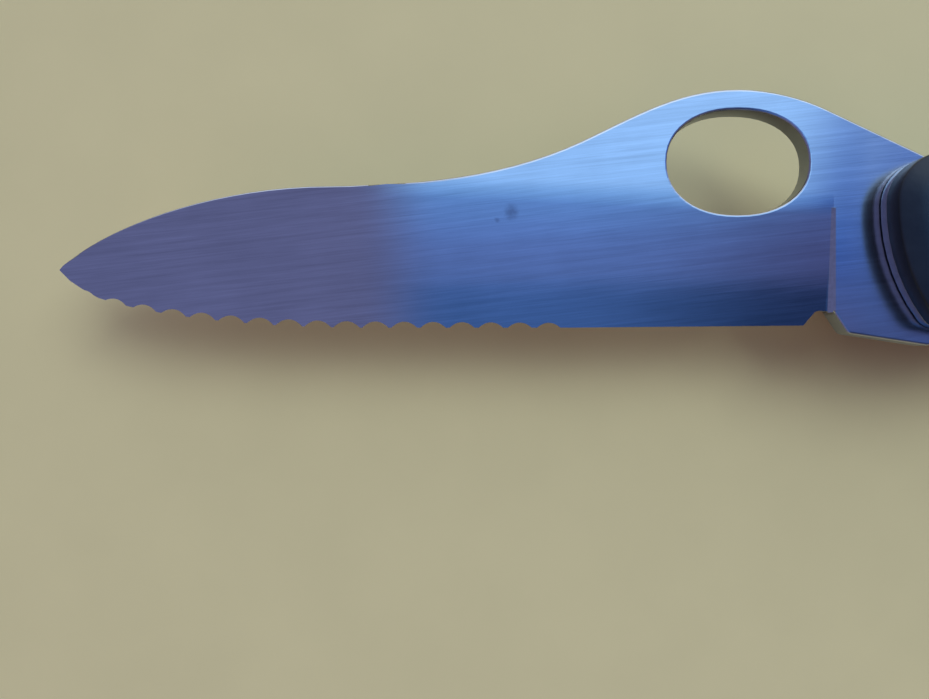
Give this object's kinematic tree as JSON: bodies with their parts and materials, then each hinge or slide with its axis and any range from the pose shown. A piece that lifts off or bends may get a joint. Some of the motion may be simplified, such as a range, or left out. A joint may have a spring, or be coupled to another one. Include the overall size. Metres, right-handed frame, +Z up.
{
  "type": "rigging knife",
  "caption": "Folding sailor's knife: serrated locking blade with an oval thumb hole, marlinspike with shackle key, can and bottle openers, lanyard ring.",
  "frame": {"origin": "on the flat outer face of the rear scale, under the blade's pivot axis", "axes": "+X along the handle from the blade's pivot to the lanyard end, so the open blade points to -X; +Y towards the back of the knife; +Z up through its thickness, from the rear scale to the front scale"},
  "size_m": [0.2112, 0.0273, 0.0199],
  "materials": {
    "navy_nylon": "satin",
    "liner_steel": "satin",
    "blade_steel": "satin, fine scratches along the blade",
    "tool_steel": "bright",
    "spring_steel": "satin",
    "pin_brass": "satin",
    "washer_bronze": "satin",
    "ring_steel": "bright"
  },
  "bodies": {
    "handle": {"front_scale": "navy_nylon", "rear_scale": "navy_nylon", "front_liner": "liner_steel", "lock_liner": "liner_steel", "centre_liner": "liner_steel", "rear_liner": "liner_steel", "front_washer": "washer_bronze", "rear_washer": "washer_bronze", "blade_spring": "spring_steel", "opener_spring": "spring_steel", "spike_spring": "spring_steel", "head_pin": "pin_brass", "butt_pin": "pin_brass", "spring_pin": "pin_brass"},
    "blade": {"blade": "blade_steel"},
    "lock_arm": {"lock_arm": "liner_steel"},
    "marlinspike": {"marlinspike": "tool_steel"},
    "bottle_opener": {"bottle_opener": "tool_steel"},
    "can_opener": {"can_opener": "tool_steel"},
    "lanyard_ring": {"lanyard_ring": "ring_steel"}
  },
  "joints": [
    {"name": "blade_pivot", "type": "hinge", "parent": "handle", "child": "blade", "pos_m": [0, 0, 0.01455], "axis": [0, 0, 1], "range_deg": [0, 180]},
    {"name": "lock_arm_flex", "type": "hinge", "parent": "handle", "child": "lock_arm", "pos_m": [0.052, -0.006, 0.0126], "axis": [0, -1, 0], "range_deg": [-2, 0]},
    {"name": "marlinspike_pivot", "type": "hinge", "parent": "handle", "child": "marlinspike", "pos_m": [0.0958, 0, 0.0063], "axis": [0, 0, 1], "range_deg": [0, 180]},
    {"name": "bottle_opener_pivot", "type": "hinge", "parent": "handle", "child": "bottle_opener", "pos_m": [0.0958, 0, 0.0108], "axis": [0, 0, 1], "range_deg": [0, 180]},
    {"name": "can_opener_pivot", "type": "hinge", "parent": "handle", "child": "can_opener", "pos_m": [0, 0, 0.0108], "axis": [0, 0, -1], "range_deg": [0, 180]},
    {"name": "ring_swing", "type": "hinge", "parent": "handle", "child": "lanyard_ring", "pos_m": [0.1042, 0.011, 0.0091], "axis": [0, 0, 1], "range_deg": [-85, 100]}
  ]
}
